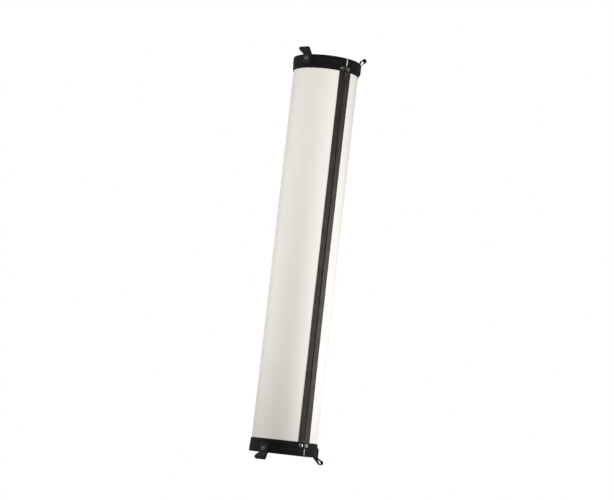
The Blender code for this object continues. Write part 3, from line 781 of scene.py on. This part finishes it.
def make_pull():
    """The pull: an eye, a waisted stem and a blade with an oblong hole and rounded edges."""
    outline = arc(0.0, 0.0, 1.9 * MM, 0, 180, 14)
    outline += [(-1.7 * MM, -2.5 * MM), (-1.6 * MM, -5.5 * MM), (-2.4 * MM, -8.5 * MM)]
    outline += [(-3.6 * MM, -11.0 * MM), (-4.0 * MM, -13.0 * MM), (-4.0 * MM, -26.5 * MM)]
    outline += arc(0.0, -26.5 * MM, 4.0 * MM, 180, 360, 18)[1:]
    outline += [(4.0 * MM, -13.0 * MM), (3.6 * MM, -11.0 * MM), (2.4 * MM, -8.5 * MM)]
    outline += [(1.6 * MM, -5.5 * MM), (1.7 * MM, -2.5 * MM)]
    slot_hole = arc(0.0, -24.5 * MM, 1.5 * MM, 180, 360) + arc(0.0, -18.5 * MM, 1.5 * MM, 0, 180)
    place = Matrix.Translation((0.0, -PIVOT_OUT, PIVOT_Z)) @ Matrix.Rotation(math.pi / 2.0, 4, "X")
    below_eye = [p for p in outline if p[1] < -2.0 * MM]
    blade = outline_solid("pull_blade", below_eye, 1.4 * MM, place, ENAMEL, [slot_hole])
    ring = [(1.15 * MM, 1.6 * MM), (1.15 * MM, -1.6 * MM), (1.9 * MM, -1.6 * MM), (2.1 * MM, -1.3 * MM)]
    ring += [(2.1 * MM, 1.3 * MM), (1.9 * MM, 1.6 * MM)]
    across = Matrix.Translation((0.0, -PIVOT_OUT, PIVOT_Z)) @ Matrix.Rotation(math.pi / 2.0, 4, "Y")
    eye = lathe("pull_eye", ring, 28, across, ENAMEL)
    stem_size = (3.2 * MM, 1.4 * MM, 2.6 * MM)
    stem_centre = (0.0, -PIVOT_OUT, PIVOT_Z - 2.6 * MM)
    stem = rounded_box("pull_stem", stem_size, stem_centre, ENAMEL, 0.3 * MM)
    for piece in (blade, eye, stem):
        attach(piece, "pull")
    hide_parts("pull_tab")


# ---------------------------------------------------------------- fasteners
def cap_profile(radius, height, post_radius, post_length):
    """A domed cap with a rolled rim, a shallow ring groove and a post below it."""
    profile = [(0.0, height)]
    for step in range(1, 13):
        turn = 0.5 * math.pi * step / 13.0
        r = radius * 0.97 * math.sin(turn)
        groove = 0.07 * MM * math.exp(-(((r / radius) - 0.72) / 0.05) ** 2)
        profile.append((r, 0.32 * height + 0.68 * height * math.cos(turn) - groove))
    for step in range(7):
        turn = 0.5 * math.pi - math.pi * step / 6.0
        profile.append((radius - 0.4 * MM + 0.4 * MM * math.cos(turn), 0.42 * MM + 0.4 * MM * math.sin(turn)))
    profile += [(radius - 1.2 * MM, 0.15 * MM), (post_radius, 0.15 * MM)]
    profile += [(post_radius, -post_length), (0.0, -post_length)]
    return profile


def make_rivets():
    base = TAPE_RADIUS + 0.3 * MM
    post = base - 97.7 * MM
    burr = [(2.1 * MM, 0.0), (4.2 * MM, 0.0), (4.5 * MM, -0.2 * MM), (4.5 * MM, -0.7 * MM)]
    burr += [(4.2 * MM, -0.9 * MM), (2.1 * MM, -0.9 * MM)]
    for end in ENDS:
        for side, sign in (("left", -1.0), ("right", 1.0)):
            azimuth = sign * RIVET_OFFSET / TAPE_RADIUS
            height = end_height(end, RIVET_FROM_RIM)
            name = f"{end}_rivet_{side}"
            profile = cap_profile(CAP_RADIUS, 2.6 * MM, 1.7 * MM, post)
            finish = NICKEL if side == "left" else RUBBED_NICKEL
            cap = lathe(f"{name}_cap", profile, 48, radial_frame(azimuth, base, height), finish)
            ride_root(cap, "dark_nickel", name)
            washer = lathe(f"{name}_washer", burr, 36, radial_frame(azimuth, 98.9 * MM, height), STEEL)
            ride_root(washer, "plain_steel", f"{name}_burr")


def fold_centre(splay):
    """The centre of the fold's arc, as (radius, height beyond the rim)."""
    along = (math.sin(splay), math.cos(splay))
    outward = (math.cos(splay), -math.sin(splay))
    radius = TONGUE_RADIUS + LEAF_LENGTH * along[0] + FOLD_RADIUS * outward[0]
    beyond = 1.0 * MM + LEAF_LENGTH * along[1] + FOLD_RADIUS * outward[1]
    return radius, beyond


def along_arc(centre, radius, start, stop, steps):
    """Points (radius, height beyond the rim) on an arc, angles in radians from outwards."""
    points = []
    for step in range(steps + 1):
        turn = start + (stop - start) * step / steps
        points.append((centre[0] + radius * math.cos(turn), centre[1] + radius * math.sin(turn)))
    return points


def straight(first, last, steps):
    """Points between two others, without either of them."""
    points = []
    for step in range(1, steps):
        t = step / steps
        points.append((first[0] + (last[0] - first[0]) * t, first[1] + (last[1] - first[1]) * t))
    return points


def loop_path(splay):
    """The whole strap's middle line, (radius, height beyond the rim), from hem to tail.

    It also gives the number of the first point after the fold.
    """
    fall = splay + LOOP_CLOSING
    fold = along_arc(fold_centre(splay), FOLD_RADIUS, math.pi - splay, -fall, 30)
    bend = 5.0 * MM
    bend_in = bend * (1.0 - math.cos(fall))
    drop = (fold[-1][0] - FLAP_RADIUS - bend_in) / math.tan(fall)
    centre = (FLAP_RADIUS + bend, fold[-1][1] - drop - bend * math.sin(fall))
    turn_down = along_arc(centre, bend, math.pi - fall, math.pi, 6)
    path = [(TONGUE_RADIUS, -1.6 * MM), (TONGUE_RADIUS, -0.2 * MM), (TONGUE_RADIUS + 0.3 * MM, 1.5 * MM)]
    path += straight(path[-1], fold[0], 10) + fold
    cut = len(path)
    path += straight(fold[-1], turn_down[0], 8) + turn_down
    tail = (FLAP_RADIUS, -TAIL_FROM_RIM)
    path += straight(turn_down[-1], tail, 26) + [tail]
    return path, cut


def make_loop(end, side):
    """One webbing loop, with its snap fastener.

    The strap is in two lengths that butt together below the fold. The upper one bends at the
    The lower one, with the cap, moves with the flap.
    """
    name = f"{end}_{side}"
    azimuth, skew, splay = (math.radians(angle) for angle in LOOPS[end, side])
    path, cut = loop_path(splay)
    runs = [0.0]
    for (r0, z0), (r1, z1) in zip(path, path[1:]):
        runs.append(runs[-1] + math.hypot(r1 - r0, z1 - z0))
    total = runs[-1]
    columns = 17
    corner = 9.0 * MM
    seed = 0.7 * SIDES.index(side) + (2.0 if end == "top" else 5.0)

    def place(i, j):
        radius, beyond = path[i]
        left_over = total - runs[i]
        half = 0.5 * WEBBING_WIDTH
        if left_over < corner:
            dip = corner - left_over
            half -= corner - math.sqrt(max(corner * corner - dip * dip, 0.0)) * 0.999
        across = half * (2.0 * j / (columns - 1) - 1.0)
        soft = 0.25 * MM * ripple(runs[i] * 130.0, across * 160.0, seed) * min(1.0, runs[i] / (6.0 * MM))
        turn = azimuth + across / FLAP_RADIUS + skew * min(max(beyond / SKEW_HEIGHT, 0.0), 1.0)
        point = direction(turn) * (radius + soft)
        point.z = end_height(end, -(beyond + 0.3 * soft))
        return point, (across, runs[i])

    strap = cloth(f"{name}_webbing", cut + 1, columns, place, WEBBING_CLOTH, WEBBING_THICKNESS)
    tail = cloth(
        f"{name}_webbing_tail",
        len(path) - cut,
        columns,
        lambda i, j: place(i + cut, j),
        WEBBING_CLOTH,
        WEBBING_THICKNESS,
    )
    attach(tail, f"{name}_flap")
    out = direction(azimuth + skew)
    normal = out * math.cos(splay)
    normal.z = -math.sin(splay) if end == "top" else math.sin(splay)
    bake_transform(strap)
    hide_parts(f"{name}_strap", f"{name}_flap")
    make_snap(name, end, azimuth)


def make_snap(name, end, azimuth):
    """The snap's cap and socket on the strap's tail, and its stud in the band."""
    height = end_height(end, SNAP_FROM_RIM)
    cap_base = FLAP_RADIUS + 0.5 * MM + 0.3 * MM
    profile = cap_profile(CAP_RADIUS, 2.4 * MM, 1.3 * MM, 1.6 * MM)
    cap = lathe(f"{name}_cap", profile, 48, radial_frame(azimuth, cap_base, height), DULL_NICKEL)
    depth = FLAP_RADIUS - 0.5 * MM - 0.3 * MM - SOCKET_IN
    ring = [(2.5 * MM, depth), (2.5 * MM, 0.2 * MM), (2.9 * MM, 0.0), (3.6 * MM, 0.0), (4.0 * MM, 0.3 * MM)]
    ring += [(4.6 * MM, 0.35 * MM), (5.0 * MM, 0.8 * MM), (5.0 * MM, depth)]
    socket = lathe(f"{name}_socket", ring, 40, radial_frame(azimuth, SOCKET_IN, height), STEEL)
    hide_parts(f"{name}_snap_cap")
    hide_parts(f"{name}_snap_socket")
    for piece in (cap, socket):
        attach(piece, f"{name}_flap")
    front = BAND_RIM_RADIUS + 0.3 * MM
    back = 103.3 * MM
    stud = [(0.0, 106.5 * MM), (1.3 * MM, 106.4 * MM), (1.9 * MM, 106.0 * MM), (2.0 * MM, 105.7 * MM)]
    stud += [(1.6 * MM, front + 0.6 * MM), (4.2 * MM, front + 0.6 * MM), (4.5 * MM, front + 0.35 * MM)]
    stud += [(4.5 * MM, front - 0.1 * MM), (1.3 * MM, front - 0.1 * MM), (1.3 * MM, back)]
    stud += [(4.5 * MM, back), (4.5 * MM, back - 0.6 * MM), (0.0, back - 0.6 * MM)]
    post = lathe(f"{name}_stud", stud, 40, radial_frame(azimuth, 0.0, height), STEEL)
    ride_root(post, "plain_steel", f"{name}_snap_stud")


# ---------------------------------------------------------------- camera, floor and light
CAMERA_DISTANCE = 6.290
CAMERA_AZIMUTH = math.radians(-35.33)
CAMERA_HEIGHT = -0.0347
CAMERA_ROLL = math.radians(6.429)
CAMERA_LENS = 120.58
AIM_RIGHT = 0.00336
AIM_HEIGHT = 0.62859
FLOOR_Z = -0.55


def make_camera():
    out = direction(CAMERA_AZIMUTH)
    right = Vector((math.cos(CAMERA_AZIMUTH), math.sin(CAMERA_AZIMUTH), 0.0))
    eye = out * CAMERA_DISTANCE + Vector((0.0, 0.0, CAMERA_HEIGHT))
    aim = right * AIM_RIGHT + Vector((0.0, 0.0, AIM_HEIGHT))
    camera = bpy.data.objects.new("camera", bpy.data.cameras.new("camera"))
    bpy.context.scene.collection.objects.link(camera)
    camera.data.lens = CAMERA_LENS
    camera.data.clip_end = 100.0
    camera.rotation_mode = "QUATERNION"
    turn = (aim - eye).to_track_quat("-Z", "Y").to_matrix().to_4x4()
    roll = Matrix.Rotation(CAMERA_ROLL, 4, "Z")
    camera.location = eye
    camera.rotation_quaternion = (turn @ roll).to_quaternion()
    bpy.context.scene.camera = camera


def make_floor():
    """A white studio floor well below the tube, which hangs from a lamp."""
    mesh = bpy.data.meshes.new("studio_floor")
    half = 6.0
    corners = [(-half, -half, FLOOR_Z), (half, -half, FLOOR_Z), (half, half, FLOOR_Z), (-half, half, FLOOR_Z)]
    mesh.from_pydata(corners, [], [(0, 1, 2, 3)])
    floor = bpy.data.objects.new("studio_floor", mesh)
    bpy.context.scene.collection.objects.link(floor)
    material = bpy.data.materials.new("studio_white")
    material.use_nodes = True
    shader = material.node_tree.nodes["Principled BSDF"]
    shader.inputs["Base Color"].default_value = (0.0, 0.0, 0.0, 1.0)
    shader.inputs["Specular IOR Level"].default_value = 0.0
    shader.inputs["Emission Color"].default_value = (1.0, 1.0, 1.0, 1.0)
    shader.inputs["Emission Strength"].default_value = 1.0
    mesh.materials.append(material)
    floor.visible_diffuse = False
    floor.visible_glossy = False
    floor.visible_shadow = False


def make_world(ambient):
    """White behind the object; a softer, slightly warm and even light on it."""
    world = bpy.data.worlds.new("studio")
    bpy.context.scene.world = world
    world.use_nodes = True
    tree = world.node_tree
    background = tree.nodes["Background"]
    path = node(tree, "ShaderNodeLightPath")
    strength = maths(tree, "MULTIPLY_ADD", path.outputs["Is Camera Ray"], 1.0 - ambient)
    tree.nodes[-1].inputs[2].default_value = ambient
    warmth = node(
        tree,
        "ShaderNodeMixRGB",
        {
            "Fac": path.outputs["Is Camera Ray"],
            "Color1": (1.0, 0.965, 0.91, 1.0),
            "Color2": (1.0, 1.0, 1.0, 1.0),
        },
    )
    tree.links.new(warmth.outputs["Color"], background.inputs["Color"])
    tree.links.new(strength, background.inputs["Strength"])


def area_light(name, azimuth, distance, height, width, tall, power, colour=(1.0, 0.99, 0.972)):
    """A soft box aimed at the tube. Its azimuth is counted from the camera, to the right."""
    turn = CAMERA_AZIMUTH + math.radians(azimuth)
    light = bpy.data.lights.new(name, "AREA")
    light.shape = "RECTANGLE"
    light.size = width
    light.size_y = tall
    light.energy = power
    light.color = colour
    obj = bpy.data.objects.new(name, light)
    bpy.context.scene.collection.objects.link(obj)
    place = direction(turn) * distance + Vector((0.0, 0.0, height))
    obj.location = place
    aim = Vector((0.0, 0.0, 0.62)) - place
    obj.rotation_mode = "QUATERNION"
    obj.rotation_quaternion = aim.to_track_quat("-Z", "Y")
    return obj


make_camera()
make_floor()
make_world(0.35)
area_light("front_softbox", 9.3, 2.0, 1.12, 0.9, 0.9, 25.4, (1.0, 0.992, 0.985))
area_light("right_softbox", 87.6, 1.25, 0.08, 0.5, 0.65, 12.2, (1.0, 1.0, 1.005))
area_light("left_softbox", -102.8, 1.8, 0.66, 0.7, 0.9, 19.4)

sheet = make_sheet()
bands = [make_band(end) for end in ENDS]
for side, sign in (("left", -1.0), ("right", 1.0)):
    make_tape(side, sign)
    make_coil(side, sign)
    stop = box_between(f"zip_top_stop_{side}", f"zip_stop_{side}", STEEL, 0.5 * MM)
    ride_root(stop, "plain_steel", f"zip_stop_{side}")
ride_root(box_between("zip_box", "zip_retainer_box", NYLON, 0.8 * MM), "zip_nylon", "zip_retainer_box")
pin_low, pin_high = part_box("zip_insertion_pin")
pin_middle = (pin_low + pin_high) / 2.0
pin_line = [(pin_middle.x, pin_middle.y, pin_low.z + (pin_high.z - pin_low.z) * k / 6.0) for k in range(7)]
pin = mesh_object("zip_pin", *tube(pin_line, 0.78 * MM, 16), STEEL)
ride_root(pin, "plain_steel", "zip_insertion_pin")
make_slider()
make_pull()
make_rivets()
for end in ENDS:
    for side in SIDES:
        make_loop(end, side)

bpy.context.scene.view_settings.view_transform = "Standard"
